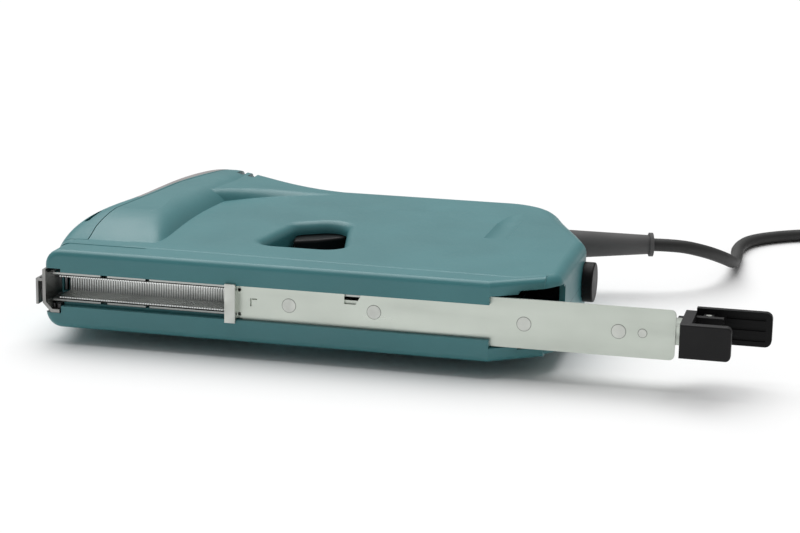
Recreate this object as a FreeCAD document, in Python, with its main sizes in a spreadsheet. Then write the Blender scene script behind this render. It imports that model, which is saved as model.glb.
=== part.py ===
import math
import os
import re

import FreeCAD
import Part
import Sketcher

# A corded electric stapler lying on its right side.
# X runs from the nose to the rear end, Y from the base to the handle's back, Z is up (the tool's left side).
# All sizes are in millimetres. The sheet below holds the driving dimensions; X, Y are measured from the
# nose's working point and moved to the row's origin by each sub-part's Placement.

V = FreeCAD.Vector
doc = FreeCAD.newDocument("electric_stapler")

SIZES = {
    # row origin, from the nose's working point
    "origin_x": 171.24,
    "origin_y": 96.8,
    # housing
    "motor_half": 27.5,
    "grip_half": 19.5,
    "wall": 2.8,
    "rear_wall_x": 250.0,
    "foot_length": 220.0,
    "foot_rise": 16.0,
    "grip_back_y": 188.0,
    "grip_round": 12.0,
    "rear_round": 6.0,
    "hump_y": 200.0,
    "foot_height": 40.0,
    "foot_round": 3.0,
    "nose_round": 8.0,
    "pad_thick": 1.4,
    # hand hole
    "hole_front": 94.0,
    "hole_rear": 138.0,
    "hole_bottom": 44.0,
    "hole_top": 105.0,
    "hole_round": 9.0,
    "rim_round": 5.0,
    # magazine in the foot
    "lip": 2.8,
    "mouth_half": 8.45,
    "plate_half": 11.75,
    "plate_thick": 1.2,
    "plate_gap": 0.3,
    "channel_half": 7.1,
    "channel_wall": 0.9,
    "channel_top": 21.2,
    "channel_bottom": 4.9,
    # staples
    "staple_start": 6.0,
    "staple_count": 68,
    "staple_pitch": 1.25,
    "wire_wide": 1.2,
    "wire_thick": 0.6,
    "crown_half": 5.6,
    "crown_y": 19.9,
    "leg_tip_y": 5.2,
    # slide
    "bar_front": 92.4,
    "bar_long": 5.2,
    "bar_half": 9.3,
    "bar_thick": 1.5,
    "slide_end": 306.0,
    "rail_half": 4.6,
    "rail_wall": 0.8,
    "rail_top": 18.6,
    "rail_end": 308.6,
    "pusher_long": 12.0,
    "rivet_round": 3.2,
    "slide_travel": 86.0,
    # nose
    "nose_thick": 1.6,
    "nose_half": 8.6,
    "nose_depth": 24.0,
    "blade_thick": 1.1,
    "blade_half": 5.5,
    "blade_x": 2.6,
    "stroke": 21.5,
    # drive
    "coil_x": 27.0,
    "coil_bottom": 70.0,
    "coil_top": 135.0,
    "coil_round": 14.2,
    "bobbin_round": 14.9,
    "bobbin_wall": 1.0,
    "plunger_round": 7.5,
    "plunger_gap": 0.08,
    "yoke_thick": 2.5,
    "yoke_half": 17.5,
    # trigger
    "trigger_front": 101.0,
    "trigger_rear": 127.0,
    "trigger_half": 13.0,
    "trigger_travel": 5.0,
    "trigger_gap": 0.4,
    # dial
    "dial_y": 93.0,
    "dial_round": 10.0,
    "dial_high": 5.2,
    "dial_stem": 3.0,
    "stem_gap": 0.08,
    # screws
    "boss_round": 4.4,
    "screw_round": 1.75,
    "head_round": 3.4,
    "head_high": 2.4,
    "head_depth": 9.0,
    # dent in the left side
    "dent_round": 12.0,
    "dent_deep": 1.6,
    # cord
    "cord_round": 3.5,
    "sleeve_base": 8.0,
    "sleeve_tip": 5.0,
}

sheet = doc.addObject("Spreadsheet::Sheet", "Sizes")
for row, (alias, value) in enumerate(SIZES.items(), start=1):
    sheet.set(f"A{row}", alias)
    sheet.set(f"B{row}", str(value))
    sheet.setAlias(f"B{row}", alias)
doc.recompute()


def size(alias):
    """The sheet's value for an alias."""
    return float(sheet.get(alias))


def bound(text):
    """An expression with every alias in it pointing at the sheet."""
    def to_sheet(word):
        return f"Sizes.{word.group()}" if word.group() in SIZES else word.group()

    return re.sub(r"[a-z][a-z_]*[a-z]", to_sheet, str(text))


def bind(obj, path, text):
    obj.setExpression(path, bound(text))


counter = {"made": 0}


def add(kind, stem):
    """A new document object with a name of its own."""
    counter["made"] += 1
    return doc.addObject(kind, f"{stem}_{counter['made']}")


def move(obj, x, y, z):
    bind(obj, "Placement.Base.x", x)
    bind(obj, "Placement.Base.y", y)
    bind(obj, "Placement.Base.z", z)


# The tool's middle plane over the floor, and the seam between the front cover and the shell.
MID = "motor_half"
SEAM = 0.5


def box(x0, x1, y0, y1, z0, z1):
    """A block between two corners. Z is counted from the tool's middle plane."""
    made = add("Part::Box", "block")
    bind(made, "Length", f"({x1}) - ({x0})")
    bind(made, "Width", f"({y1}) - ({y0})")
    bind(made, "Height", f"({z1}) - ({z0})")
    move(made, x0, y0, f"{MID} + ({z0})")
    return made


TURNS = {
    "X": FreeCAD.Rotation(V(0, 1, 0), 90),
    "Y": FreeCAD.Rotation(V(1, 0, 0), -90),
    "Z": FreeCAD.Rotation(),
}


def rod(axis, radius, length, x, y, z):
    """A cylinder that starts at a point and runs along +X, +Y or +Z."""
    made = add("Part::Cylinder", "rod")
    bind(made, "Radius", radius)
    bind(made, "Height", length)
    made.Placement = FreeCAD.Placement(V(), TURNS[axis])
    move(made, x, y, f"{MID} + ({z})")
    return made


def cone(axis, radius, far_radius, length, x, y, z):
    made = add("Part::Cone", "cone")
    bind(made, "Radius1", radius)
    bind(made, "Radius2", far_radius)
    bind(made, "Height", length)
    made.Placement = FreeCAD.Placement(V(), TURNS[axis])
    move(made, x, y, f"{MID} + ({z})")
    return made


def fuse(*shapes):
    made = add("Part::MultiFuse", "joined")
    made.Shapes = list(shapes)
    return made


def cut(base, *tools):
    made = add("Part::Cut", "cut")
    made.Base = base
    made.Tool = tools[0] if len(tools) == 1 else fuse(*tools)
    return made


def common(base, tool):
    made = add("Part::Common", "shared")
    made.Base = base
    made.Tool = tool
    return made


def group(shapes):
    made = add("Part::Compound", "group")
    made.Links = list(shapes)
    return made


def outline(points):
    """A closed sketch of straight edges in the XY plane, each corner bound to two expressions."""
    made = add("Sketcher::SketchObject", "outline")
    count = len(points)
    rough = [V(100 * math.cos(2 * math.pi * k / count), 100 * math.sin(2 * math.pi * k / count), 0)
             for k in range(count)]
    for k in range(count):
        made.addGeometry(Part.LineSegment(rough[k], rough[(k + 1) % count]), False)
    for k in range(count):
        made.addConstraint(Sketcher.Constraint("Coincident", k, 2, (k + 1) % count, 1))
    for k, (x, y) in enumerate(points):
        for word, text in (("DistanceX", x), ("DistanceY", y)):
            rough_place = getattr(rough[k], word[-1].lower())
            index = made.addConstraint(Sketcher.Constraint(word, -1, 1, k, 1, rough_place))
            bind(made, f"Constraints[{index}]", text)
    return made


def prism(sketch, z0, z1):
    """A sketch of the XY plane made solid between two heights over the middle plane."""
    move(sketch, "0", "0", f"{MID} + ({z0})")
    made = add("Part::Extrusion", "prism")
    made.Base = sketch
    made.DirMode = "Custom"
    made.Dir = V(0, 0, 1)
    made.Solid = True
    bind(made, "LengthFwd", f"({z1}) - ({z0})")
    return made


def rounded(base, chosen, radius):
    """Base with the edges that chosen(edge) picks rounded. radius is a number, or a function of the edge."""
    doc.recompute()
    made = add("Part::Fillet", "rounded")
    made.Base = base
    made.Edges = [(k, *(radius(edge) if callable(radius) else (radius, radius)))
                  for k, edge in enumerate(base.Shape.Edges, start=1) if chosen(edge)]
    return made


def middle(edge):
    """The point halfway along an edge."""
    return edge.valueAt((edge.FirstParameter + edge.LastParameter) / 2)


def along(edge, axis):
    """Whether an edge is straight and runs along a row axis."""
    ends = [vertex.Point for vertex in edge.Vertexes]
    return len(ends) == 2 and (ends[1] - ends[0]).cross(axis).Length < 1e-6


NODES = []


def node(label, made):
    """A finished sub-part, set at the row's origin."""
    holder = group([made])
    holder.Label = label
    bind(holder, "Placement.Base.x", "-origin_x")
    bind(holder, "Placement.Base.y", "-origin_y")
    NODES.append(holder)
    return holder


# ---------------------------------------------------------------- housing

# The motor housing's sections: height over the base, front, rear, half width, corner radius.
MOTOR_SECTIONS = [
    (16, 1.5, 52, "grip_half", 6),
    (40, -5.0, 52, "motor_half - 4.5", 12),
    (66, -4.8, 50, "motor_half", 18),
    (100, -1.6, 50, "motor_half", 20),
    (138, 2.2, 53, "motor_half", 20),
    (176, 9.0, 57, "motor_half - 0.6", 19),
    (193, 17.0, 55, "motor_half - 3", 17),
    ("hump_y", 27.0, 50, "motor_half - 9", 10),
]


def round_section(plane, place, low, high, half, radius):
    """A rounded rectangle across the tool, in the XZ plane at a Y, or in the YZ plane at an X."""
    sketch = add("Sketcher::SketchObject", "section")
    a, b, c, r = 0.0, 60.0, 20.0, 5.0
    sides = [((a + r, -c), (b - r, -c)), ((b, -c + r), (b, c - r)),
             ((b - r, c), (a + r, c)), ((a, c - r), (a, -c + r))]
    for start, end in sides:
        sketch.addGeometry(Part.LineSegment(V(*start, 0), V(*end, 0)), False)
    corners = [((b - r, -c + r), 270, 360), ((b - r, c - r), 0, 90),
               ((a + r, c - r), 90, 180), ((a + r, -c + r), 180, 270)]
    for centre, first, last in corners:
        circle = Part.Circle(V(*centre, 0), V(0, 0, 1), r)
        sketch.addGeometry(Part.ArcOfCircle(circle, math.radians(first), math.radians(last)), False)
    for k in range(4):
        sketch.addConstraint(Sketcher.Constraint("Tangent", k, 2, 4 + k, 1))
        sketch.addConstraint(Sketcher.Constraint("Tangent", 4 + k, 2, (k + 1) % 4, 1))
    for k, word in enumerate(("Horizontal", "Vertical", "Horizontal", "Vertical")):
        sketch.addConstraint(Sketcher.Constraint(word, k))
    for k in range(5, 8):
        sketch.addConstraint(Sketcher.Constraint("Equal", 4, k))
    measures = [
        (Sketcher.Constraint("Radius", 4, r), radius),
        (Sketcher.Constraint("DistanceX", -1, 1, 3, 1, 1.0), low),
        (Sketcher.Constraint("DistanceX", -1, 1, 1, 1, b), high),
        (Sketcher.Constraint("DistanceY", 0, 1, -1, 1, c), half),
        (Sketcher.Constraint("DistanceY", -1, 1, 2, 1, c), half),
    ]
    for constraint, text in measures:
        index = sketch.addConstraint(constraint)
        bind(sketch, f"Constraints[{index}]", text)
    if plane == "XZ":
        sketch.Placement = FreeCAD.Placement(V(), FreeCAD.Rotation(V(1, 0, 0), 90))
        move(sketch, "0", place, MID)
    else:
        sketch.Placement = FreeCAD.Placement(V(), FreeCAD.Rotation(V(1, 1, 1), 120))
        move(sketch, place, "0", MID)
    return sketch


def loft(sections):
    made = add("Part::Loft", "loft")
    made.Sections = sections
    made.Solid = True
    made.Ruled = False
    return made


def motor_body(inset):
    """The motor housing, or its hollow when inset is the wall."""
    sections = []
    for y, front, rear, half, radius in MOTOR_SECTIONS:
        top = y == "hump_y"
        low = y == MOTOR_SECTIONS[0][0]
        place = f"{y} - ({inset})" if top else f"{y} + ({inset}) * 3" if low else y
        sections.append(round_section("XZ", place, f"{front} + ({inset})", f"{rear} - ({inset})",
                                      f"{half} - ({inset})", f"{radius} - ({inset}) * 0.7"))
    between_sides = box("-20", "90", "0", "220", f"-motor_half + ({inset})", f"motor_half - ({inset})")
    return common(loft(sections), between_sides)


# The flare that runs from the motor housing into the grip: X, low Y, high Y, half width.
FLARE_SECTIONS = [
    (36, 118, "grip_back_y + 9", "motor_half - 1.5"),
    (50, 134, "grip_back_y + 8", "motor_half - 2.8"),
    (64, 146, "grip_back_y + 4.5", "grip_half + 3.4"),
    (84, 155, "grip_back_y + 1", "grip_half + 1.2"),
    (106, 160, "grip_back_y", "grip_half - 0.1"),
]


def flare_body(inset):
    sections = [round_section("YZ", x, f"{low} + ({inset})", f"{high} - ({inset})", f"{half} - ({inset})",
                              f"grip_round - ({inset}) * 0.7") for x, low, high, half in FLARE_SECTIONS]
    return loft(sections)


GRIP_POINTS = [
    ("24", "14"), ("foot_length + 12", "8.5"), ("rear_wall_x - 6", "foot_rise + 1"), ("rear_wall_x", "26"),
    ("rear_wall_x", "98"), ("rear_wall_x - 30", "grip_back_y"), ("44", "grip_back_y"), ("24", "150"),
]
HOLE_POINTS = [
    ("hole_front", "hole_bottom"), ("hole_rear", "hole_bottom"), ("hole_rear - 11.5", "hole_top - 8"),
    ("hole_rear - 19", "hole_top"), ("hole_front + 7", "hole_top - 12"),
]
FOOT_POINTS = [
    ("0.5", "0"), ("foot_length", "0"), ("foot_length + 23", "foot_rise"),
    ("foot_length + 23", "foot_height"), ("0.5", "foot_height"),
]


def in_hole(place):
    """Whether a point lies about the hand hole."""
    return size("hole_front") - 14 < place.x < size("hole_rear") + 6 and \
        size("hole_bottom") - 10 < place.y < size("hole_top") + 9


def offset(sketch, value):
    made = add("Part::Offset2D", "offset")
    made.Source = sketch
    made.Join = 2
    bind(made, "Value", value)
    return made


def grip_body(inset):
    """The flat body with grip, rear column and foot top, with its hand hole, or its hollow."""
    hollow = inset != "0"
    shape = offset(outline(GRIP_POINTS), f"-({inset})") if hollow else outline(GRIP_POINTS)
    body = prism(shape, f"-grip_half + ({inset})", f"grip_half - ({inset})")
    reduce = size(inset) if hollow else 0.0
    upright = V(0, 0, 1)

    def corner_radius(edge):
        place = edge.Vertexes[0].Point
        radius = (34.0 if place.y > 150 else 26.0 if place.y > 100 else 8.0) - reduce * 0.5
        return radius, radius

    body = rounded(body, lambda edge: along(edge, upright) and edge.Vertexes[0].Point.x > 150,
                   corner_radius)
    hole_shape = offset(outline(HOLE_POINTS), inset) if hollow else outline(HOLE_POINTS)
    hole = prism(hole_shape, "-grip_half - 9", "grip_half + 9")
    hole = rounded(hole, lambda edge: along(edge, upright), size("hole_round") + reduce)
    body = cut(body, hole)
    low = size("motor_half") - size("grip_half") + reduce
    high = size("motor_half") + size("grip_half") - reduce

    def on_side(edge):
        heights = [vertex.Point.z for vertex in edge.Vertexes]
        return all(min(abs(height - low), abs(height - high)) < 1e-4 for height in heights)

    def rim(edge):
        """The radii at an edge's ends: full on the grip's back, tighter on the rear wall and below."""
        if in_hole(middle(edge)):
            return size("rim_round"), size("rim_round")
        full = size("grip_round") - reduce * 0.8
        tight = size("rear_round") - reduce * 0.6
        slope_x = size("rear_wall_x") - 15
        start, end = (edge.valueAt(parameter) for parameter in (edge.FirstParameter, edge.LastParameter))
        if abs(middle(edge).x - slope_x) < 7 and middle(edge).y > 110 and start.sub(end).Length > 20:
            return (full, tight) if start.y > end.y else (tight, full)
        return (tight, tight) if middle(edge).x > slope_x or middle(edge).y < 60 else (full, full)

    def softened(edge):
        return on_side(edge) and not (hollow and in_hole(middle(edge)))

    outer = rounded(body, softened, rim)
    return outer, hole


def foot_body():
    """The foot's block with rounded lower edges."""
    block = prism(outline(FOOT_POINTS), "-grip_half + 0.2", "grip_half - 0.2")
    upright = V(0, 0, 1)
    block = rounded(block, lambda edge: along(edge, V(0, 1, 0)) and middle(edge).x < 2, size("nose_round"))

    def lower(edge):
        return not along(edge, upright) and middle(edge).y < size("foot_rise") * 0.75

    return rounded(block, lower, size("foot_round"))


def prism_y(points, y0, y1):
    """A closed outline of (x, z) corners in the XZ plane made solid between two heights over the base."""
    sketch = outline(points)
    sketch.Placement = FreeCAD.Placement(V(), FreeCAD.Rotation(V(1, 0, 0), 90))
    move(sketch, "0", y0, MID)
    made = add("Part::Extrusion", "prism")
    made.Base = sketch
    made.DirMode = "Custom"
    made.Dir = V(0, 1, 0)
    made.Solid = True
    bind(made, "LengthFwd", f"({y1}) - ({y0})")
    return made


def coil_spring(axis, radius, wire, length, turns, x, y, z):
    """A round wire wound along +X or +Y from a point, with a round section swept along a helix."""
    rise = length - 2 * wire
    helix = Part.makeHelix(rise / turns, rise, radius)
    start_way = V(0, 2 * math.pi * radius, rise / turns)
    section = Part.Wire(Part.makeCircle(wire, V(radius, 0, 0), start_way))
    made = add("Part::Feature", "spring")
    made.Shape = Part.Wire(helix.Edges).makePipeShell([section], True, True)
    made.Placement = FreeCAD.Placement(V(), TURNS[axis])
    along_x, along_y = (wire, 0) if axis == "X" else (0, wire)
    move(made, f"{x} + {along_x}", f"{y} + {along_y}", f"{MID} + ({z})")
    return made


# The housing as one shell, before it is split.
outer_grip, hole_tool = grip_body("0")
motor = motor_body("0")
whole = fuse(outer_grip, foot_body(), motor, flare_body("0"))
hollow_grip, wide_hole = grip_body("wall")
hollow_motor = motor_body("wall")
floor_y = "channel_top + 3.3"
hollow = cut(fuse(hollow_grip, hollow_motor,
                  box("10", "foot_length - 6", floor_y, "foot_height", "-grip_half + wall + 0.3",
                      "grip_half - wall - 0.3")),
             box("-30", "300", "-10", floor_y, "-40", "40"), wide_hole)

# Where the trigger, the dial, the screws and the cord pass through the shell.
SCREWS = [(60, 36), (152, 36), (212, 40), (205, 134), (140, 166), (62, 150)]
bosses = [common(rod("Z", "boss_round", "2 * motor_half", x, y, "-motor_half"), whole) for x, y in SCREWS]
ribs = [box(x, f"{x} + 1.6", floor_y, "foot_height", "-grip_half + 1", "grip_half - 1")
        for x in (96, 120, 176)]
BOARD_Z = "-6"
posts = [rod("Z", "2.5", f"grip_half + ({BOARD_Z}) - 1", x, y, "-grip_half + 1")
         for x in (157, 217) for y in (55, 109)]
shell = fuse(cut(whole, hollow), *bosses, *posts, *[common(rib, whole) for rib in ribs])
plate_y = "lip + plate_gap"
plate_way = "plate_half + 0.4"
channel_way = "channel_half + 0.1"
way_start, way_end, way_below = "-20", "foot_length + 60", "-5"
mouth = [
    box(way_start, way_end, way_below, "lip + 0.1", "-mouth_half", "mouth_half"),
    box(way_start, way_end, "lip", "lip + 2 * plate_gap + plate_thick", f"-({plate_way})", plate_way),
    box(way_start, way_end, "lip", "channel_top + 0.1", f"-({channel_way})", channel_way),
    box("foot_length", way_end, way_below, "34", "-plate_half - 0.7", "plate_half + 0.7"),
    box("foot_length + 12", way_end, way_below, "30", "-plate_half - 2.4", "plate_half + 2.4"),
]
nose_low, nose_high = "-11.9", "10.2"
nose_space = box(way_start, "8.9", way_below, "channel_top + 0.1", nose_low, nose_high)
guard_way = box(way_start, "0.4", way_below, "nose_depth", nose_low, nose_high)
blade_way = box("blade_x - 0.7", "blade_x + blade_thick + 1.2", way_below, "foot_height + 4",
                "-blade_half - 0.5", "blade_half + 0.5")
trigger_way = box("trigger_front - trigger_gap", "trigger_rear + trigger_gap", "hole_top - 30",
                  "hole_top + 24", "-trigger_half - trigger_gap", "trigger_half + trigger_gap")
stem_way = rod("X", "dial_stem + stem_gap", "20", "rear_wall_x - 12", "dial_y", "0")

SLEEVE_START = V(222.5, 172.6, 0)
SLEEVE_TURN = 16.0
SLEEVE_LONG = 52.0
sleeve_way = V(math.cos(math.radians(SLEEVE_TURN)), math.sin(math.radians(SLEEVE_TURN)), 0)


def on_sleeve(kind, distance, length, radius, far_radius):
    """A rod or cone round the strain relief's axis, from a distance along it."""
    place = SLEEVE_START + sleeve_way * distance
    if kind == "rod":
        made = rod("X", radius, length, place.x, place.y, "0")
    else:
        made = cone("X", radius, far_radius, length, place.x, place.y, "0")
    turn = FreeCAD.Rotation(V(0, 0, 1), SLEEVE_TURN).multiply(TURNS["X"])
    made.Placement = FreeCAD.Placement(made.Placement.Base, turn)
    move(made, place.x, place.y, MID)
    return made


sleeve_hole = on_sleeve("rod", -9, "50", "sleeve_base + 0.05", None)

# The height under each screw's head, from the middle plane.
SEAT = "grip_half - head_depth"


def screw_shapes(x, y):
    """The ways cut for one screw, put in from the right side: thread hole, clearance and head recess."""
    thread = rod("Z", "screw_round", f"{SEAT} - 4", x, y, "0")
    clear = rod("Z", "screw_round + 0.3", SEAT, x, y, f"-({SEAT})")
    recess = rod("Z", "head_round + 0.5", "40", x, y, f"-({SEAT}) - 40")
    return [thread, clear, recess]


def screw(x, y):
    """A cross-head screw from its seat to the left half's boss."""
    shank = rod("Z", "screw_round", f"2 * ({SEAT}) - 4", x, y, f"-({SEAT})")
    head = rod("Z", "head_round", "head_high", x, y, f"-({SEAT}) - head_high")
    low, high = f"-({SEAT}) - head_high - 1", f"-({SEAT}) - head_high + 1"
    cross = [box(f"{x} - 1.9", f"{x} + 1.9", f"{y} - 0.35", f"{y} + 0.35", low, high),
             box(f"{x} - 0.35", f"{x} + 0.35", f"{y} - 1.9", f"{y} + 1.9", low, high)]
    return cut(fuse(shank, head), *cross)


# Slanted slots through the hump, two on each side of the middle.
VENT_X, VENT_WIDE, VENT_PITCH, VENT_LEAN = 34.5, 4, 6.5, 8
VENT_INNER, VENT_OUTER, VENT_LOW = 4, 30, 178
vents = []
for start in (VENT_X, VENT_X + VENT_PITCH):
    for side in (1, -1):
        near, far = VENT_INNER * side, VENT_OUTER * side
        outer_start = start + VENT_LEAN
        slot = [(start, near), (start + VENT_WIDE, near), (outer_start + VENT_WIDE, far), (outer_start, far)]
        vents.append(prism_y(slot, VENT_LOW, "hump_y + 6"))
cover_slot = fuse(rod("Z", "1.5", "14", "4.6", "47", "motor_half - 9"),
                  rod("Z", "1.5", "14", "5.8", "60", "motor_half - 9"),
                  prism(outline([("3.1", "47"), ("6.1", "47"), ("7.3", "60"), ("4.3", "60")]),
                        "motor_half - 9", "motor_half + 5"))
# A long dent in the left side near the grip's rear.
dent_axis = "grip_half + dent_round - dent_deep"
dent = fuse(rod("Y", "dent_round", "34", "205", "90", dent_axis),
            cone("Y", "dent_round", "dent_round - dent_deep", "30", "205", "124", dent_axis))
keeper_way = box("foot_length - 4", "foot_length + 1", "22.8", "29.2", "-3.4", "3.4")
ways = mouth + vents + [dent, keeper_way, nose_space, blade_way, guard_way, trigger_way, stem_way,
                        sleeve_hole]
for x, y in SCREWS:
    ways += screw_shapes(x, y)

# The rubber pads lie in the shell's surface, and the front cover is a piece of its own.
front_outline = outline([("-20", "80"), ("11.6", "80"), ("13", "100"), ("16.8", "138"), ("23.6", "172"),
                         ("30", "190"), ("31.5", "210"), ("-20", "210")])
front_area = prism(front_outline, "-motor_half + 0.7", "motor_half - 0.7")
front_pad = common(cut(motor, motor_body("pad_thick")), front_area)
spine_low = "grip_back_y - 9.5"
spine_outline = outline([("53", "187"), ("64", "184.5"), ("80", "181"), ("100", spine_low),
                         ("196", spine_low), ("196", "210"), ("53", "210")])
spine_area = prism(spine_outline, "-30", "30")
spine_pad = cut(common(whole, spine_area), hollow)


def cover_outline(gap):
    """The front cover's share of the shell, or a little less where a seam is left open."""
    low = f"26 + {gap}"
    rear = [(13, low), (12.2, 40), (13.4, 66), (17.4, 100), (21.8, 138), (30, 172), (33.4, 186), (33.4, 215)]
    points = [("-30", low)] + [(f"{x} - {gap}", y) for x, y in rear] + [("-30", "215")]
    return prism(outline(points), "-40", "40")


cover_area = cover_outline(0)
body = cut(shell, *ways)


# ---------------------------------------------------------------- nose

# The nose plate is one bent sheet: a front wall, a slanted corner and a short flange on the right side.
bend_in, flange_z, flange_end = "nose_half - 1.6", "-11.4", "8.5"
flange_in = f"{flange_z} + nose_thick"
sheet_low = "-1.2"
nose_sheet = prism_y([("0", "nose_half + 1"), ("0", f"-({bend_in})"), ("4.2", flange_z),
                      (flange_end, flange_z), (flange_end, flange_in), ("4.9", flange_in), ("nose_thick", "-6.4"),
                      ("nose_thick", "nose_half + 1")], sheet_low, "channel_top - 1")
guard = fuse(box("-3.4", "-2.2", sheet_low, "13", "-7.8", "5"),
             box("-3.4", "-0.1", sheet_low, "0", "3.8", "5"),
             box("-2.3", "-0.1", "6", "9", "-2", "2"))
bracket = cut(box("5", "8.4", "0.8", "4.6", "-9.7", "-7.5"), box("5.6", "7", "-1", "3.2", "-10", "-7"))

# ---------------------------------------------------------------- magazine

inner = "channel_half - channel_wall"
windows = [box(x0, x1, "0", "channel_bottom + 3.6", "-10", "10") for x0, x1 in ((27.5, 31), (50.5, 52.5))]
channel = cut(box("3", "foot_length - 4", "channel_bottom", "channel_top", "-channel_half", "channel_half"),
              box("-1", "foot_length", "0", "channel_top - channel_wall", f"-({inner})", inner),
              box("-1", "staple_start - 0.3", "channel_top - 2", "channel_top + 1", "-10", "10"), *windows)
crown_in = "crown_half - wire_thick"
staples = []
for k in range(int(size("staple_count"))):
    start = f"staple_start + {k} * staple_pitch"
    end = f"{start} + wire_wide"
    staples.append(cut(box(start, end, "leg_tip_y", "crown_y", "-crown_half", "crown_half"),
                       box(f"{start} - 1", f"{end} + 1", "0", "crown_y - wire_thick", f"-({crown_in})",
                           crown_in)))

# ---------------------------------------------------------------- slide

plate_start = "bar_front + bar_long + 2.4"
rail_y = f"{plate_y} + plate_thick"
plate = box(plate_start, "slide_end", plate_y, rail_y, "-plate_half", "plate_half")
plate = rounded(plate, lambda edge: along(edge, V(0, 1, 0)) and middle(edge).x > 200, 2.5)
step_plate = box("bar_front + bar_long - 0.2", f"{plate_start} + 0.2", plate_y, rail_y, "-8", "8")
eyes = [rod("Y", "0.9", "6", "bar_front + bar_long + 0.9", "0", z) for z in ("-6", "6")]
notch = prism_y([("150", "12.5"), ("150", "2.9"), ("155.5", "2.9"), ("161", "12.5")], "0", "5")
lance = [box("103.8", "104.5", "0", "5", "-1.8", "2.2"), box("104.4", "107.2", "0", "5", "1.5", "2.2")]
rivet_way = "plate_thick + rail_wall + 1"
RIVETS = [(x, "rivet_round") for x in (123, 164.5, 236, 280)] + [(291, "1.9")]
plate = cut(fuse(plate, step_plate), notch, *lance, *eyes,
            *[rod("Y", radius, rivet_way, x, f"{plate_y} - 0.5", "0") for x, radius in RIVETS])
rivets = [rod("Y", radius, "plate_thick + rail_wall + 0.4", x, f"{plate_y} - 0.2", "0")
          for x, radius in RIVETS]
stop_bar = fuse(box("bar_front", "bar_front + bar_long", "-bar_thick - 0.1", "-0.1", "-bar_half - 0.3",
                    "bar_half"),
                box("bar_front + 2.8", "bar_front + bar_long - 0.2", "-0.2", rail_y, "-7.9", "7.9"))
rail_in = "rail_half - rail_wall"
rail = cut(box("bar_front + 0.4", "rail_end", rail_y, "rail_top", "-rail_half", "rail_half"),
           box("bar_front - 5", "rail_end - 0.8", f"{rail_y} + rail_wall", "rail_top + 1", f"-({rail_in})",
               rail_in),
           *[rod("Y", radius, rivet_way, x, f"{plate_y} - 0.5", "0") for x, radius in RIVETS],
           box("bar_front - 1", "bar_front + bar_long - 0.2", "0", f"{rail_y} + 0.1", "-8", "8"))
pusher_in = "rail_half + 0.25"
pusher_out = "crown_half + 0.15"
pusher_end = "bar_front + 0.6 + pusher_long"
pusher = fuse(cut(box("bar_front + 0.6", pusher_end, "6", "crown_y", f"-({pusher_out})", pusher_out),
                  box("0", "200", "0", "rail_top + 0.2", f"-({pusher_in})", pusher_in)),
              box("bar_front + 0.6", "bar_front + 5", "8", "crown_y - 0.5", "-3.2", "3.2"))
spring_start = "bar_front + 5.1"
spring_from = size("bar_front") + 5.1
pusher_spring = coil_spring("X", 2.9, 0.35, size("rail_end") - 0.9 - spring_from, 42, spring_start, "11.5",
                            "0")

# ---------------------------------------------------------------- clip at the slide's rear

clip_start = "rail_end + 0.1"
grip_block = fuse(box(clip_start, f"{clip_start} + 5", "-6.4", "21", "-8", "8"),
                  box(clip_start, "332", "-6.4", "-2.6", "-8", "8"),
                  box(clip_start, f"{clip_start} + 17.6", "16.5", "20", "-6", "6"))
grip_block = cut(grip_block, box(f"{clip_start} - 1", f"{clip_start} + 6", "-1", "2", "-20", "-9"))
grip_block = rounded(grip_block, lambda edge: along(edge, V(0, 1, 0)) and middle(edge).x > 330, 2.4)
grip_block = rounded(grip_block, lambda edge: not along(edge, V(0, 1, 0)) and middle(edge).y < -6.3, 0.8)
pin_x, pin_y = "rail_end + 10.5", "22.6"
ears = [box(f"{pin_x} - 2.4", f"{pin_x} + 2.4", "19.9", f"{pin_y} + 2.2", z0, z1)
        for z0, z1 in (("3.2", "5.8"), ("-5.8", "-3.2"))]
grip_block = cut(fuse(grip_block, *ears), rod("Z", "1.3", "20", pin_x, pin_y, "-10"))
lever = fuse(box("rail_end + 4.5", "348", "25.2", "28.6", "-8.2", "8.2"),
             box(f"{pin_x} - 2", f"{pin_x} + 2", f"{pin_y} - 1.8", "25.3", "-2.9", "2.9"),
             box("rail_end - 4", "rail_end + 4.7", "26", "28.6", "-3", "3"),
             box("rail_end - 4", "rail_end - 1.5", "23.2", "26.2", "-3", "3"))
lever = rounded(lever, lambda edge: along(edge, V(0, 1, 0)) and middle(edge).x > 345, 3.2)
lever = cut(lever, rod("Z", "1.36", "20", pin_x, pin_y, "-10"),
            *[box("326.6", "345", "24.8", "26", z, f"{z} + 1.6") for z in ("4.2", "-0.8", "-5.8")])
clip_pin = rod("Z", "1.3", "11.6", pin_x, pin_y, "-5.8")
clip_spring = coil_spring("Y", 1.8, 0.35, 5.1, 4, "rail_end + 15.1", "20.05", "0")

# ---------------------------------------------------------------- drive

base_top = f"{floor_y} + 3"
tower_top = "coil_bottom - yoke_thick - 2.6"


def side_wall(x0, x1, y0, y1, z_in, z_out):
    """A wall on each side of the middle plane, between two distances from it."""
    return [box(x0, x1, y0, y1, z_in, z_out), box(x0, x1, y0, y1, f"-({z_out})", f"-({z_in})")]


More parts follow.
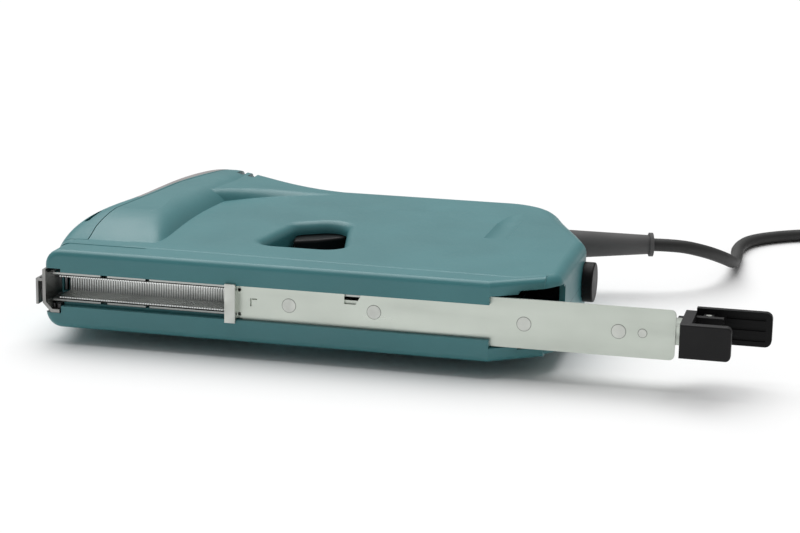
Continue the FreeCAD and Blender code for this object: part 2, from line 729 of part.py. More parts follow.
towers = side_wall("7", "38", base_top, tower_top, "12.5", "15")
tower_plate = box("5", "44", tower_top, "coil_bottom - yoke_thick - 0.1", "-15", "15")
base_plate = box("blade_x + blade_thick + 2.4", "60", floor_y, base_top, "-15", "15")
base = cut(fuse(base_plate, *towers, tower_plate),
           rod("Y", "plunger_round + 1.1", "30", "coil_x", "coil_bottom - 20", "0"))
yoke_x0, yoke_x1 = "coil_x - 16", "coil_x + 16"
yoke = cut(fuse(box(yoke_x0, yoke_x1, "coil_bottom - yoke_thick", "coil_bottom", "-yoke_half", "yoke_half"),
                box(yoke_x0, yoke_x1, "coil_top", "coil_top + yoke_thick", "-yoke_half", "yoke_half"),
                *side_wall(yoke_x0, yoke_x1, "coil_bottom - 1", "coil_top + 1", "yoke_half - yoke_thick",
                           "yoke_half")),
           rod("Y", "plunger_round + 1.1", "150", "coil_x", "coil_bottom - 20", "0"))
bore = "plunger_round + plunger_gap"
bobbin = cut(fuse(rod("Y", f"{bore} + bobbin_wall", "coil_top - coil_bottom", "coil_x", "coil_bottom", "0"),
                  rod("Y", "bobbin_round", "1.4", "coil_x", "coil_bottom", "0"),
                  rod("Y", "bobbin_round", "1.4", "coil_x", "coil_top - 1.4", "0")),
             rod("Y", bore, "200", "coil_x", "coil_bottom - 50", "0"))
winding = cut(rod("Y", "coil_round", "coil_top - coil_bottom - 2.8", "coil_x", "coil_bottom + 1.4", "0"),
              rod("Y", f"{bore} + bobbin_wall", "200", "coil_x", "coil_bottom - 50", "0"))
plunger_y = "coil_bottom + 22.7"
plunger_long = "68"
carrier_top = "leg_tip_y + 54.8"
plunger = fuse(rod("Y", "plunger_round", plunger_long, "coil_x", plunger_y, "0"),
               rod("Y", "3.5", f"{plunger_y} - ({carrier_top}) + 1", "coil_x", carrier_top, "0"))
blade = box("blade_x", "blade_x + blade_thick", "crown_y + 1.6", carrier_top, "-blade_half", "blade_half")
carrier = box("blade_x + blade_thick", "coil_x + 6", f"{carrier_top} - 10", carrier_top, "-7", "7")
return_long = size("leg_tip_y") + 44.8 - size("channel_top") - 6.5
return_spring = coil_spring("Y", 5.4, 0.5, return_long, 6, "coil_x", f"{base_top} + 0.1", "0")
strap_top = f"{plunger_y} + {plunger_long} + 5.5"
strap = fuse(box("coil_x - 5", "coil_x + 5", strap_top, f"{strap_top} + 2", "-11", "11"),
             *side_wall("coil_x - 5", "coil_x + 5", "coil_top + yoke_thick + 0.05", f"{strap_top} + 1", "9.2",
                        "11"))
bumper = rod("Y", "7.5", "5.2", "coil_x", f"{plunger_y} + {plunger_long} + 0.3", "0")

# ---------------------------------------------------------------- trigger

trigger_top = "hole_top + 14"
trigger = prism(outline([("trigger_front + 1.5", "hole_top - 24"), ("trigger_front + 13", "hole_top - 17.5"),
                         ("trigger_rear - 4", "hole_top - 9"), ("trigger_rear - 0.4", "hole_top - 5"),
                         ("trigger_rear - 0.4", trigger_top), ("trigger_front + 0.4", trigger_top),
                         ("trigger_front + 0.4", "hole_top - 21")]), "-trigger_half", "trigger_half")


def finger_side(edge):
    """Whether an edge of the trigger is one that the finger meets."""
    return middle(edge).y < size("hole_top") - 5.5 and not along(edge, V(0, 0, 1))


trigger = rounded(trigger, finger_side, 1.6)
spring_x = "trigger_front + 5.5"
trigger = cut(trigger, rod("Y", "3", "12", spring_x, "hole_top + 9", "0"))
trigger_spring = coil_spring("Y", 2.2, 0.3, 10.8, 6, spring_x, "hole_top + 9.1", "0")
switch = fuse(box("trigger_front + 1", "trigger_rear", "hole_top + 20", "hole_top + 34", "-6.5", "6.5"),
              rod("Y", "1.8", "2", "trigger_rear - 9", "hole_top + 19.2", "0"))

# ---------------------------------------------------------------- dial and electrics

dial = fuse(rod("X", "dial_round", "dial_high", "rear_wall_x + 0.3", "dial_y", "0"),
            rod("X", "dial_stem", "12", "rear_wall_x - 10.7", "dial_y", "0"))
dial = rounded(dial, lambda edge: middle(edge).x > size("rear_wall_x") + 5, 0.8)
potentiometer = cut(box("rear_wall_x - 22", "rear_wall_x - 8", "dial_y - 8", "dial_y + 8", "-8", "8"),
                    rod("X", "dial_stem + stem_gap", "14", "rear_wall_x - 13", "dial_y", "0"))
board_top = "-4.4"
on_board = "-4.35"
board = box("152", "222", "50", "114", BOARD_Z, board_top)
board_parts = [rod("X", "7", "26", "158", "64", "2.7"), box("192", "216", "56", "74", on_board, "5"),
               box("160", "176", "82", "94", on_board, "1"), rod("Z", "4", "12", "196", "92", on_board),
               box("182", "206", "100", "110", on_board, "6")]
clamp = cut(box("197", "209", "160.3", "174.3", "-9", "9"),
            on_sleeve("rod", -30, "50", "cord_round + 0.05", None))
sleeve = cut(fuse(on_sleeve("cone", 0, str(SLEEVE_LONG), "sleeve_base", "sleeve_tip"),
                  on_sleeve("rod", SLEEVE_LONG - 2, "2", "sleeve_tip + 1.4", None),
                  on_sleeve("rod", -12, "12.1", "sleeve_base", None),
                  on_sleeve("rod", -12, "2", "sleeve_base + 1.6", None)),
             on_sleeve("rod", -14, "86", "cord_round + 0.1", None))

# ---------------------------------------------------------------- cord

# The cord's route, each point's Z counted from the middle plane. It starts inside the strain relief.
RESTING = -24.0
ROUTE = [
    (264.8, 184.7, 0.0), (284.0, 190.2, 0.0), (299.5, 203.2, -5.4), (309.3, 222.5, -13.3),
    (311.5, 248.2, -21.2), (311.0, 276.0, RESTING), (309.0, 296.0, RESTING), (314.0, 322.0, RESTING),
    (336.0, 343.0, RESTING),
    (362.0, 353.5, RESTING), (388.0, 355.5, RESTING), (405.0, 355.5, RESTING),
]
COIL_CENTRE = (405.0, 397.0)
COIL_ROUND = 41.5
COIL_LAYERS = 4
TAIL = [
    (446.5, 397.0, -3.0), (446.5, 414.0, -3.5), (446.5, 434.0, -13.0), (446.5, 453.0, -19.0),
    (446.5, 469.0, -19.0),
]


def cord_tube(points, radius, name=None):
    """A round cord along straight runs that tangent arcs join. name prints its length and arc radii."""
    corners = [V(x, y, size("motor_half") + z) for x, y, z in points]
    edges = []
    start = corners[0]
    radii = []
    for before, corner, after in zip(corners, corners[1:], corners[2:]):
        back, ahead = before - corner, after - corner
        turn = math.pi - back.getAngle(ahead)
        reach = 0.45 * min(back.Length, ahead.Length)
        radii.append(reach / math.tan(turn / 2))
        arc_start = corner + back.normalize() * reach
        arc_end = corner + ahead.normalize() * reach
        to_middle = (back + ahead).normalize()
        saddle = corner + to_middle * (radii[-1] / math.cos(turn / 2) - radii[-1])
        edges.append(Part.LineSegment(start, arc_start).toShape())
        edges.append(Part.Arc(arc_start, saddle, arc_end).toShape())
        start = arc_end
    edges.append(Part.LineSegment(start, corners[-1]).toShape())
    path = Part.Wire(edges)
    section = Part.Wire(Part.makeCircle(radius, corners[0], corners[1] - corners[0]))
    made = add("Part::Feature", "cord")
    made.Shape = path.makePipeShell([section], True, False)
    if name:
        ideal = math.pi * radius ** 2 * path.Length
        print(name, f"long {path.Length:.1f}, volume over ideal {made.Shape.Volume / ideal:.4f}, radii",
              " ".join(f"{value:.1f}" for value in radii))
    return made


cord_radius = size("cord_round")
power_cord = cord_tube(ROUTE, cord_radius, "power_cord")
cord_tail = cord_tube(TAIL, cord_radius, "cord_tail")
coil_inner = f"{COIL_ROUND} - 3 * cord_round"
coil_base = f"{RESTING} - cord_round"
coil_high = f"{COIL_LAYERS} * 2 * cord_round"
cord_coil = cut(rod("Z", f"{COIL_ROUND} + cord_round", coil_high, *COIL_CENTRE, coil_base),
                rod("Z", coil_inner, coil_high, *COIL_CENTRE, coil_base),
                cord_tube(ROUTE[-4:], cord_radius + 0.05), cord_tube(TAIL[:3], cord_radius + 0.05))
inner_cord = on_sleeve("rod", -34, "77.9", "cord_round", None)

# The plug lies flat: a neck, a body and two round pins.
plug_x, plug_y, _ = TAIL[-1]
plug_z = f"{TAIL[-1][2]}"
plug_block = box(f"{plug_x} - 17.5", f"{plug_x} + 17.5", f"{plug_y} + 18", f"{plug_y} + 50",
                 f"{plug_z} - 8.5", f"{plug_z} + 8.5")
plug_body = rounded(plug_block, lambda edge: not along(edge, V(1, 0, 0)), 5)
plug = fuse(plug_body, cone("Y", "5", "7.5", "20", plug_x, plug_y, plug_z),
            *[rod("Y", "2.4", "20", f"{plug_x} + {side}", f"{plug_y} + 49", plug_z) for side in (-9.5, 9.5)])

halves = cut(body, cover_area, spine_area)
node("housing_left", common(halves, box("-40", "320", "-40", "260", "0", "60")))
node("housing_right", common(halves, box("-40", "320", "-40", "260", "-60", "0")))
node("front_cover", cut(common(body, cover_outline(SEAM)), front_area, cover_slot))
node("front_pad", front_pad)
node("spine_pad", spine_pad)
node("housing_screws", group([screw(x, y) for x, y in SCREWS]))
node("nose_plate", nose_sheet)
node("front_guard", guard)
node("nose_bracket", bracket)
node("magazine_channel", channel)
node("staple_stick", group(staples))
node("slide_plate", plate)
node("slide_rivets", group(rivets))
node("stop_bar", stop_bar)
node("core_rail", rail)
node("pusher", pusher)
node("pusher_spring", pusher_spring)
node("slide_grip", grip_block)
node("release_lever", lever)
node("clip_pin", clip_pin)
node("clip_spring", clip_spring)
node("base_frame", base)
node("solenoid_yoke", yoke)
node("coil_bobbin", bobbin)
node("coil_winding", winding)
node("plunger", plunger)
node("driver_carrier", carrier)
node("driver_blade", blade)
node("return_spring", return_spring)
node("bumper_strap", strap)
node("plunger_bumper", bumper)
node("trigger", trigger)
node("trigger_spring", trigger_spring)
node("trigger_switch", switch)
node("force_dial", dial)
node("potentiometer", potentiometer)
node("control_board", board)
node("board_parts", group(board_parts))
node("cord_clamp", clamp)
node("strain_relief", sleeve)
node("inner_cord", inner_cord)
node("power_cord", power_cord)
node("cord_coil", cord_coil)
node("cord_tail", cord_tail)
node("power_plug", plug)

doc.recompute()
failed = [item.Name for item in doc.Objects if "Invalid" in item.State or "Error" in item.State]
broken = [item.Label for item in NODES if item.Shape.isNull() or not item.Shape.isValid()]
if failed or broken:
    raise RuntimeError(f"failed: {failed}, broken: {broken}")
os.makedirs("parts", exist_ok=True)
for item in NODES:
    print(item.Label, len(item.Shape.Solids), round(item.Shape.Volume / 1000, 2))
    item.Shape.exportStep(f"parts/{item.Label}.step")
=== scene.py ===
import math

import bpy
from mathutils import Matrix, Vector


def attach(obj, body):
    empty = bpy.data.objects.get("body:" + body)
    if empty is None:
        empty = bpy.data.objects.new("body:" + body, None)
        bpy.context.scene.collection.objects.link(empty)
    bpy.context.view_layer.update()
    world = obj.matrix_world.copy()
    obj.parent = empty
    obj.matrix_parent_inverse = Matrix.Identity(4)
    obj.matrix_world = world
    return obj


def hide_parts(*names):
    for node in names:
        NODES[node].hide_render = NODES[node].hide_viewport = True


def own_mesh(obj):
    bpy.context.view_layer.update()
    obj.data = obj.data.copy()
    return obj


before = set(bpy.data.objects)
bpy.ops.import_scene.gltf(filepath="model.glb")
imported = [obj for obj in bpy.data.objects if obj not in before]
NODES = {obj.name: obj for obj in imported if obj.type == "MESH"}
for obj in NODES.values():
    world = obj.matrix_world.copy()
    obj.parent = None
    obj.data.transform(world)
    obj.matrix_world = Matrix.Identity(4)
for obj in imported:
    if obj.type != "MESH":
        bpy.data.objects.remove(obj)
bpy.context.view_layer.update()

# A corded electric stapler that lies on its right side, with its magazine slide pulled out.
# Metres. +X runs from the nose to the rear, +Y from the base to the handle's back, +Z is up.

SCENE = bpy.context.scene

# The middle plane and the nose's working point, as the parts were drawn from them.
MIDDLE = 0.0275
NOSE = Vector((-0.17124, -0.0968, MIDDLE))


def at(x, y, z):
    """A place given in millimetres from the nose's working point."""
    return NOSE + Vector((x, y, z)) * 0.001


# ---------------------------------------------------------------- camera, floor and lights

AZIMUTH, ELEVATION, ROLL = math.radians(13.3), math.radians(13.5), math.radians(1.04)
AIM = at(167.3, 42.8, 13.2)
DISTANCE = 1.0666
LENS = 99.0
FLOOR_HALF = 6.0
PAPER_WHITE = (0.93, 0.93, 0.93, 1.0)
SKY_STRENGTH = 0.3
OVERHEAD_POWER = 2.75
OVERHEAD_SPREAD = math.radians(70.0)
OVERHEAD_WAY = Vector((0.25, -0.35, -1.0))


def make_camera():
    sight = Vector((-math.sin(AZIMUTH) * math.cos(ELEVATION), math.cos(AZIMUTH) * math.cos(ELEVATION),
                    -math.sin(ELEVATION)))
    right = Vector((math.cos(AZIMUTH), math.sin(AZIMUTH), 0.0))
    up = right.cross(sight)
    rolled_right = right * math.cos(ROLL) + up * math.sin(ROLL)
    rolled_up = up * math.cos(ROLL) - right * math.sin(ROLL)
    camera = bpy.data.objects.new("camera", bpy.data.cameras.new("camera"))
    camera.data.lens = LENS
    camera.data.sensor_width = 36.0
    camera.data.clip_start = 0.01
    turn = Matrix((rolled_right, rolled_up, -sight)).transposed().to_4x4()
    camera.matrix_world = Matrix.Translation(AIM - sight * DISTANCE) @ turn
    SCENE.collection.objects.link(camera)
    SCENE.camera = camera


def make_floor():
    mesh = bpy.data.meshes.new("floor")
    corners = [(-FLOOR_HALF, -FLOOR_HALF, 0), (FLOOR_HALF, -FLOOR_HALF, 0), (FLOOR_HALF, FLOOR_HALF, 0),
               (-FLOOR_HALF, FLOOR_HALF, 0)]
    mesh.from_pydata(corners, [], [(0, 1, 2, 3)])
    floor = bpy.data.objects.new("floor", mesh)
    SCENE.collection.objects.link(floor)
    paper = bpy.data.materials.new("floor_paper")
    paper.use_nodes = True
    shader = paper.node_tree.nodes["Principled BSDF"]
    shader.inputs["Base Color"].default_value = PAPER_WHITE
    shader.inputs["Roughness"].default_value = 0.9
    mesh.materials.append(paper)


def make_light():
    """A faint even sky and one wide soft overhead light. The floor's own bounce opens the lower faces."""
    world = bpy.data.worlds.new("studio")
    world.use_nodes = True
    background = world.node_tree.nodes["Background"]
    background.inputs["Color"].default_value = (1.0, 1.0, 1.0, 1.0)
    background.inputs["Strength"].default_value = SKY_STRENGTH
    SCENE.world = world
    overhead = bpy.data.lights.new("overhead", "SUN")
    overhead.energy = OVERHEAD_POWER
    overhead.angle = OVERHEAD_SPREAD
    lamp = bpy.data.objects.new("overhead", overhead)
    lamp.rotation_euler = OVERHEAD_WAY.to_track_quat("-Z", "Y").to_euler()
    SCENE.collection.objects.link(lamp)
    SCENE.view_settings.view_transform = "Standard"


make_camera()
make_floor()
make_light()

# ---------------------------------------------------------------- materials


# A colour Mix node's sockets share their labels with its other types, so they are met by number.
COLOUR_A, COLOUR_B, COLOUR_RESULT = 6, 7, 2


class Shader:
    """A node material under construction, with short calls for what most of them need."""

    def __init__(self, name, colour, roughness=0.5, metallic=0.0, **sockets):
        self.material = bpy.data.materials.new(name)
        self.material.use_nodes = True
        self.tree = self.material.node_tree
        self.shader = self.tree.nodes["Principled BSDF"]
        self.shader.inputs["Base Color"].default_value = (*colour, 1.0)
        self.shader.inputs["Roughness"].default_value = roughness
        self.shader.inputs["Metallic"].default_value = metallic
        for label, value in sockets.items():
            self.shader.inputs[label.replace("_", " ")].default_value = value
        self.height = None

    def node(self, kind, **values):
        made = self.tree.nodes.new(kind)
        for key, value in values.items():
            if key in made.inputs:
                made.inputs[key].default_value = value
            else:
                setattr(made, key, value)
        return made

    def link(self, start, end):
        self.tree.links.new(start, end)

    def place(self, stretch=(1.0, 1.0, 1.0)):
        """Object coordinates in metres, stretched along an axis."""
        coordinates = self.node("ShaderNodeTexCoord")
        mapping = self.node("ShaderNodeMapping")
        mapping.inputs["Scale"].default_value = stretch
        self.link(coordinates.outputs["Object"], mapping.inputs["Vector"])
        return mapping.outputs["Vector"]

    def noise(self, scale, detail=3.0, stretch=(1.0, 1.0, 1.0)):
        made = self.node("ShaderNodeTexNoise", Scale=scale, Detail=detail)
        self.link(self.place(stretch), made.inputs["Vector"])
        return made.outputs["Fac"]

    def spread(self, value, low, high, start=0.3, end=0.7):
        made = self.node("ShaderNodeMapRange")
        made.inputs["From Min"].default_value = start
        made.inputs["From Max"].default_value = end
        made.inputs["To Min"].default_value = low
        made.inputs["To Max"].default_value = high
        self.link(value, made.inputs["Value"])
        return made.outputs["Result"]

    def tint(self, value, dark, light):
        """The colour moves between two shades with a value."""
        mix = self.node("ShaderNodeMix", data_type="RGBA")
        mix.inputs[COLOUR_A].default_value = (*dark, 1.0)
        mix.inputs[COLOUR_B].default_value = (*light, 1.0)
        self.link(value, mix.inputs["Factor"])
        self.link(mix.outputs[COLOUR_RESULT], self.shader.inputs["Base Color"])

    def rough(self, value, low, high):
        self.link(self.spread(value, low, high), self.shader.inputs["Roughness"])

    def maths(self, operation, *values):
        """A maths node on sockets or numbers."""
        made = self.node("ShaderNodeMath", operation=operation)
        for index, value in enumerate(values):
            if isinstance(value, (int, float)):
                made.inputs[index].default_value = value
            else:
                self.link(value, made.inputs[index])
        return made.outputs["Value"]

    def axes(self):
        """The three object coordinates, each a value in metres."""
        made = self.node("ShaderNodeSeparateXYZ")
        self.link(self.place(), made.inputs["Vector"])
        return made.outputs["X"], made.outputs["Y"], made.outputs["Z"]

    def overlay(self, value, colour, blend="MIX"):
        """The colour that is set so far, with another laid over it where a value is 1."""
        base = self.shader.inputs["Base Color"]
        mix = self.node("ShaderNodeMix", data_type="RGBA", blend_type=blend)
        self.link(base.links[0].from_socket, mix.inputs[COLOUR_A])
        mix.inputs[COLOUR_B].default_value = (*colour, 1.0)
        self.link(value, mix.inputs["Factor"])
        self.link(mix.outputs[COLOUR_RESULT], base)

    def shade(self, value, strength):
        """The colour that is set so far, darkened where a value is 1."""
        self.overlay(value, (strength, strength, strength), "MULTIPLY")

    def bump(self, value, distance, strength=1.0):
        made = self.node("ShaderNodeBump", Strength=strength, Distance=distance)
        self.link(value, made.inputs["Height"])
        if self.height is not None:
            self.link(self.height, made.inputs["Normal"])
        self.height = made.outputs["Normal"]
        self.link(self.height, self.shader.inputs["Normal"])


def scaled(colour, factor):
    return tuple(channel * factor for channel in colour)


def plastic(name, colour, roughness, grain=900.0, depth=0.00004, shine=0.5):
    """Moulded plastic: a fine spark-eroded grain, faint mottling and rubbed patches."""
    made = Shader(name, colour, roughness, Specular_IOR_Level=shine)
    cloud = made.noise(14.0, 4.0)
    made.tint(made.spread(cloud, 0.0, 1.0), scaled(colour, 0.93), scaled(colour, 1.06))
    made.rough(made.noise(38.0, 5.0), roughness * 0.85, roughness * 1.2)
    made.bump(made.noise(grain, 2.0), depth)
    return made.material


def rubber(name, colour, roughness=0.75):
    made = Shader(name, colour, roughness)
    made.tint(made.spread(made.noise(25.0, 5.0), 0.0, 1.0), scaled(colour, 0.88), scaled(colour, 1.08))
    made.rough(made.noise(60.0, 4.0), roughness * 0.9, min(1.0, roughness * 1.15))
    made.bump(made.noise(1400.0, 2.0), 0.00005)
    return made.material


def steel(name, colour, roughness, brushed=(1.0, 40.0, 40.0), streak=0.10):
    """Sheet steel: rolling streaks, along X unless brushed says otherwise, and cloudy plating."""
    made = Shader(name, colour, roughness, 1.0)
    lines = made.noise(160.0, 6.0, tuple(value / max(brushed) for value in brushed))
    cloud = made.noise(22.0, 4.0)
    made.tint(made.spread(cloud, 0.0, 1.0, 0.25, 0.75), scaled(colour, 1.0 - streak),
              scaled(colour, 1.0 + streak * 0.5))
    made.rough(lines, roughness * 0.75, roughness * 1.3)
    made.bump(lines, 0.00002)
    return made.material


TEAL = (0.05, 0.205, 0.222)
RUBBER_GREY = (0.29, 0.275, 0.27)
# Half the width of the parting line, in metres.
PARTING_HALF = 0.00012
# The overmould's edge on the cover: where it starts, in millimetres, then its lean and its bow per metre.
OVERMOULD_LOW = 96.0
OVERMOULD_START = 15.2
OVERMOULD_LEAN = 0.06
OVERMOULD_BOW = 1.5
# The first staple's place in millimetres, and the step from one wire to the next in metres.
STAPLE_START = 6.0
STAPLE_PITCH = 0.00125
# The middle of a wire, as a share of the step.
WIRE_MIDDLE = 0.48
# The rivets' places along the slide in millimetres, and the radii of the rings of painted shade round them
# in metres.
BIG_RING, SMALL_RING = 0.0033, 0.002
RIVETS = [(123.0, BIG_RING), (164.5, BIG_RING), (236.0, BIG_RING), (280.0, BIG_RING), (291.0, SMALL_RING)]
# Half the width of each ring of painted shade, in metres.
SHADE_RING_HALF = 0.00022


def shell_plastic(name, colour):
    """The shell's plastic, with the thin parting line of its halves along the middle plane."""
    made = Shader(name, colour, 0.42, Coat_Weight=0.12, Coat_Roughness=0.25)
    made.tint(made.spread(made.noise(14.0, 4.0), 0.0, 1.0), scaled(colour, 0.93), scaled(colour, 1.06))
    made.rough(made.noise(38.0, 5.0), 0.36, 0.5)
    high = made.axes()[2]
    off_plane = made.maths("ABSOLUTE", made.maths("SUBTRACT", high, MIDDLE))
    seam = made.maths("LESS_THAN", off_plane, PARTING_HALF)
    made.shade(seam, 0.3)
    made.bump(made.noise(900.0, 2.0), 0.00004)
    made.bump(made.spread(off_plane, 0.0, 1.0, 0.0, PARTING_HALF * 2.0), 0.00015)
    return made.material


def cover_plastic(name, colour, soft):
    """The front cover, whose rubber overmould runs a little way past the pad onto its rounded shoulder."""
    made = Shader(name, colour, 0.42)
    made.tint(made.spread(made.noise(14.0, 4.0), 0.0, 1.0), scaled(colour, 0.93), scaled(colour, 1.06))
    across, along, _ = made.axes()
    bow = made.maths("SUBTRACT", along, at(0, OVERMOULD_LOW, 0).y)
    edge = made.maths("ADD", made.maths("MULTIPLY", bow, OVERMOULD_LEAN),
                      made.maths("MULTIPLY", made.maths("MULTIPLY", bow, bow), OVERMOULD_BOW))
    rubber_side = made.maths("LESS_THAN", across, made.maths("ADD", edge, at(OVERMOULD_START, 0, 0).x))
    above = made.maths("GREATER_THAN", along, at(0, OVERMOULD_LOW, 0).y)
    made.overlay(made.maths("MULTIPLY", rubber_side, above), soft)
    made.rough(made.noise(38.0, 5.0), 0.38, 0.55)
    made.bump(made.noise(900.0, 2.0), 0.00004)
    return made.material


def staple_wires(name, colour):
    """A strip of glued staples: a line of painted shade in the groove between each wire and the next."""
    made = Shader(name, colour, 0.34, 1.0)
    made.tint(made.spread(made.noise(60.0, 4.0), 0.0, 1.0), scaled(colour, 0.85), scaled(colour, 1.05))
    from_first = made.maths("SUBTRACT", made.axes()[0], at(STAPLE_START, 0, 0).x)
    along = made.maths("DIVIDE", from_first, STAPLE_PITCH)
    across = made.maths("ABSOLUTE", made.maths("SUBTRACT", made.maths("FRACT", along), WIRE_MIDDLE))
    # Painted shade: the groove between neighbouring wires is darkened in the colour.
    made.shade(made.spread(across, 0.0, 1.0, 0.26, 0.48), 0.35)
    made.bump(made.spread(across, 1.0, 0.0, 0.1, 0.5), 0.0002)
    return made.material


def riveted_plate(name, colour):
    """The slide's plated sheet, with a fine ring of painted shade round each rivet and a few handling
    scuffs.
    """
    made = Shader(name, colour, 0.36, 1.0)
    lines = made.noise(160.0, 6.0, (0.025, 1.0, 1.0))
    cloud = made.spread(made.noise(22.0, 4.0), 0.0, 1.0, 0.25, 0.75)
    made.tint(cloud, scaled(colour, 0.9), scaled(colour, 1.05))
    across, _, high = made.axes()
    ring = None
    for x, radius in RIVETS:
        side = made.maths("SUBTRACT", across, at(x, 0, 0).x)
        up = made.maths("SUBTRACT", high, MIDDLE)
        reach = made.maths("SQRT", made.maths("ADD", made.maths("MULTIPLY", side, side),
                                              made.maths("MULTIPLY", up, up)))
        off_ring = made.maths("ABSOLUTE", made.maths("SUBTRACT", reach, radius))
        near = made.maths("LESS_THAN", off_ring, SHADE_RING_HALF)
        ring = near if ring is None else made.maths("MAXIMUM", ring, near)
    # Painted shade: a dark ring where each rivet's head meets the sheet.
    made.shade(ring, 0.45)
    made.rough(made.noise(55.0, 8.0, (0.15, 1.0, 1.0)), 0.26, 0.5)
    made.bump(lines, 0.00002)
    return made.material


MATERIALS = {
    "teal_shell": shell_plastic("teal_shell", TEAL),
    "teal_cover": cover_plastic("teal_cover", scaled(TEAL, 0.97), RUBBER_GREY),
    "grey_rubber": rubber("grey_rubber", RUBBER_GREY),
    "black_plastic": plastic("black_plastic", (0.006, 0.0062, 0.0065), 0.42, 700.0, shine=0.14),
    "grip_plastic": plastic("grip_plastic", (0.008, 0.008, 0.0085), 0.46, 700.0, shine=0.25),
    "zinc_steel": steel("zinc_steel", (0.60, 0.645, 0.585), 0.36),
    "slide_steel": riveted_plate("slide_steel", (0.60, 0.645, 0.585)),
    "inner_steel": steel("inner_steel", (0.5, 0.52, 0.5), 0.38),
    "rivet_steel": steel("rivet_steel", (0.66, 0.68, 0.64), 0.42, (1.0, 1.0, 1.0)),
    "nose_steel": steel("nose_steel", (0.32, 0.32, 0.31), 0.35, (20.0, 1.0, 20.0), 0.18),
    "staple_wire": staple_wires("staple_wire", (0.86, 0.88, 0.86)),
    "spring_steel": steel("spring_steel", (0.42, 0.42, 0.43), 0.3, (1.0, 1.0, 1.0)),
    "black_steel": steel("black_steel", (0.07, 0.07, 0.072), 0.4, (1.0, 1.0, 1.0)),
    "sleeve_rubber": rubber("sleeve_rubber", (0.10, 0.098, 0.098)),
    "cord_rubber": rubber("cord_rubber", (0.02, 0.02, 0.0195), 0.6),
    "plug_plastic": plastic("plug_plastic", (0.016, 0.016, 0.0165), 0.42),
    "pale_plastic": plastic("pale_plastic", (0.6, 0.57, 0.48), 0.55),
    "copper": steel("copper", (0.75, 0.32, 0.16), 0.3, (1.0, 60.0, 1.0), 0.2),
    "board_green": plastic("board_green", (0.04, 0.12, 0.04), 0.4),
}

FINISHES = {
    "housing_left": "teal_shell", "housing_right": "teal_shell", "front_cover": "teal_cover",
    "front_pad": "grey_rubber", "spine_pad": "grey_rubber", "housing_screws": "black_steel",
    "nose_plate": "nose_steel", "front_guard": "nose_steel", "nose_bracket": "black_steel",
    "magazine_channel": "inner_steel", "staple_stick": "staple_wire", "slide_plate": "slide_steel",
    "slide_rivets": "rivet_steel", "stop_bar": "rivet_steel", "core_rail": "zinc_steel",
    "pusher": "black_steel", "pusher_spring": "spring_steel", "slide_grip": "grip_plastic",
    "release_lever": "black_plastic", "clip_pin": "rivet_steel", "clip_spring": "spring_steel",
    "base_frame": "inner_steel", "solenoid_yoke": "nose_steel", "coil_bobbin": "pale_plastic",
    "coil_winding": "copper", "plunger": "rivet_steel", "driver_carrier": "rivet_steel",
    "driver_blade": "spring_steel", "return_spring": "spring_steel", "bumper_strap": "inner_steel",
    "plunger_bumper": "plug_plastic", "trigger": "black_plastic", "trigger_spring": "spring_steel",
    "trigger_switch": "grip_plastic", "force_dial": "black_plastic", "potentiometer": "grip_plastic",
    "control_board": "board_green", "board_parts": "grip_plastic", "cord_clamp": "grip_plastic",
    "strain_relief": "sleeve_rubber", "inner_cord": "cord_rubber", "power_plug": "plug_plastic",
}


def finish_node(label, material):
    """A CAD piece keeps its own mesh and gets its look."""
    mesh = NODES[label].data
    mesh.materials.clear()
    mesh.materials.append(MATERIALS[material])


# Edges that turn by more than this are sharp.
SHARP = math.radians(50.0)
# Sheet and moulded pieces whose sharp edges are broken a little, with the width in metres.
BROKEN_EDGES = {
    "staple_stick": 0.0002, "stop_bar": 0.0003, "nose_plate": 0.0003, "front_guard": 0.0002,
    "slide_plate": 0.0002, "slide_grip": 0.0005, "release_lever": 0.0004, "trigger": 0.0003,
    "magazine_channel": 0.0002,
}


def break_edges(label, width):
    """A small rounding on a piece's sharp edges. It only takes material away."""
    bevel = NODES[label].modifiers.new("broken_edges", "BEVEL")
    bevel.width = width
    bevel.segments = 2
    bevel.limit_method = "ANGLE"
    bevel.angle_limit = SHARP
    bevel.use_clamp_overlap = True


for label, material in FINISHES.items():
    finish_node(label, material)
for label, width in BROKEN_EDGES.items():
    break_edges(label, width)

# ---------------------------------------------------------------- springs

# Each spring's body, the joint that presses it, its axis, its seat and the share of its length it keeps.
SPRINGS = {
    "return_spring": ("tool", "driver_stroke", (0, 1, 0), at(27.0, 27.6, 0), 0.03),
    "trigger_spring": ("tool", "trigger_press", (0, 1, 0), at(106.5, 124.9, 0), 0.52),
    "pusher_spring": ("slide_body", "magazine_slide", (1, 0, 0), at(307.7, 11.5, 0), 0.585),
    "clip_spring": ("slide_body", "lever_press", (0, 1, 0), at(323.7, 20.05, 0), 0.79),
}


def make_spring(label, body):
    """A copy of the CAD spring's mesh on its body, in place of the CAD one."""
    spring = bpy.data.objects.new(f"{label}_wire", NODES[label].data.copy())
    SCENE.collection.objects.link(spring)
    spring.matrix_world = NODES[label].matrix_world.copy()
    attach(spring, body)
    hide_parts(label)
    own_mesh(spring)


for label, (body, joint, axis, seat, keep) in SPRINGS.items():
    make_spring(label, body)

# ---------------------------------------------------------------- cord

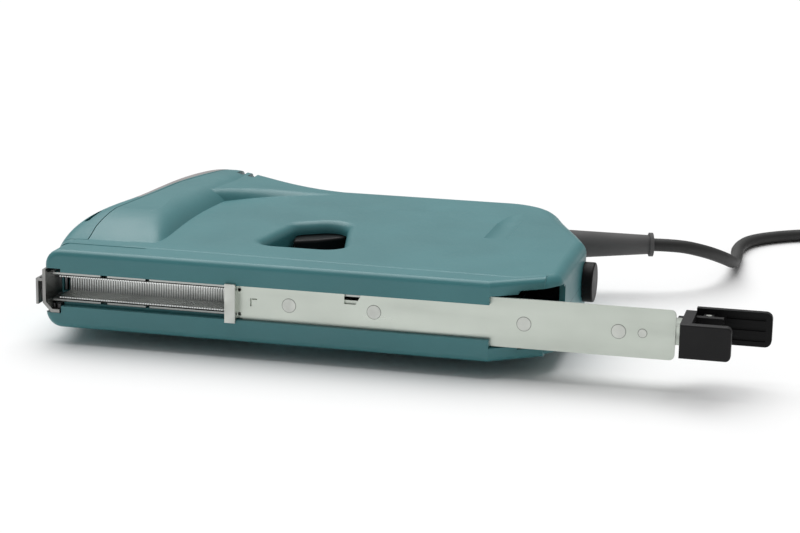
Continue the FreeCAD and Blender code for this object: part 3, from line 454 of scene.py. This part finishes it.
# The route's control points in millimetres from the nose's working point, as the part's source has them.
RESTING = -24.0
ROUTE = [
    (264.8, 184.7, 0.0), (284.0, 190.2, 0.0), (299.5, 203.2, -5.4), (309.3, 222.5, -13.3),
    (311.5, 248.2, -21.2), (311.0, 276.0, RESTING), (309.0, 296.0, RESTING), (314.0, 322.0, RESTING),
    (336.0, 343.0, RESTING), (362.0, 353.5, RESTING), (388.0, 355.5, RESTING), (405.0, 355.5, RESTING),
]
COIL_CENTRE = (405.0, 397.0)
COIL_ROUND = 41.5
CORD_WIDE = 7.0
# Points round each turn, and how many of them its step to the next turn takes.
TURN_POINTS = 24
STEP_POINTS = 6
TAIL = [(446.5, 414.0, -3.5), (446.5, 434.0, -13.0), (446.5, 453.0, -19.0), (446.5, 469.0, -19.0)]
# Column (0 outer, 1 inner) and layer of each turn, from the floor up.
TURNS = [(0, 0), (1, 0), (1, 1), (0, 1), (0, 2), (1, 2), (1, 3), (0, 3)]


def coil_points():
    """The coil's turns: each keeps its column and layer for most of its way, and then steps to the next."""
    points = []
    for turn, (column, layer) in enumerate(TURNS):
        after = TURNS[min(turn + 1, len(TURNS) - 1)]
        last = turn == len(TURNS) - 1
        count = TURN_POINTS // 4 if last else TURN_POINTS
        for k in range(1, count + 1):
            blend = 0.0 if last else max(0.0, (k - (TURN_POINTS - STEP_POINTS)) / STEP_POINTS)
            blend = blend * blend * (3 - 2 * blend)
            ring = COIL_ROUND - CORD_WIDE * (column + (after[0] - column) * blend)
            high = RESTING + CORD_WIDE * (layer + (after[1] - layer) * blend)
            angle = 2 * math.pi * k / TURN_POINTS - math.pi / 2
            x = COIL_CENTRE[0] + ring * math.cos(angle)
            y = COIL_CENTRE[1] + ring * math.sin(angle)
            points.append((x, y, high))
    return points


def make_cord():
    points = ROUTE + coil_points() + TAIL
    curve = bpy.data.curves.new("mains_cord", "CURVE")
    curve.dimensions = "3D"
    spline = curve.splines.new("NURBS")
    spline.points.add(len(points) - 1)
    for point, place in zip(spline.points, points):
        point.co = (*at(*place), 1.0)
    spline.order_u = 3
    spline.use_endpoint_u = True
    spline.resolution_u = 8
    curve.bevel_depth = CORD_WIDE / 2000.0
    curve.bevel_resolution = 6
    curve.use_fill_caps = True
    curve.materials.append(MATERIALS["cord_rubber"])
    cord = bpy.data.objects.new("mains_cord", curve)
    SCENE.collection.objects.link(cord)
    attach(cord, "tool")
    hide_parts("power_cord", "cord_coil", "cord_tail")


make_cord()
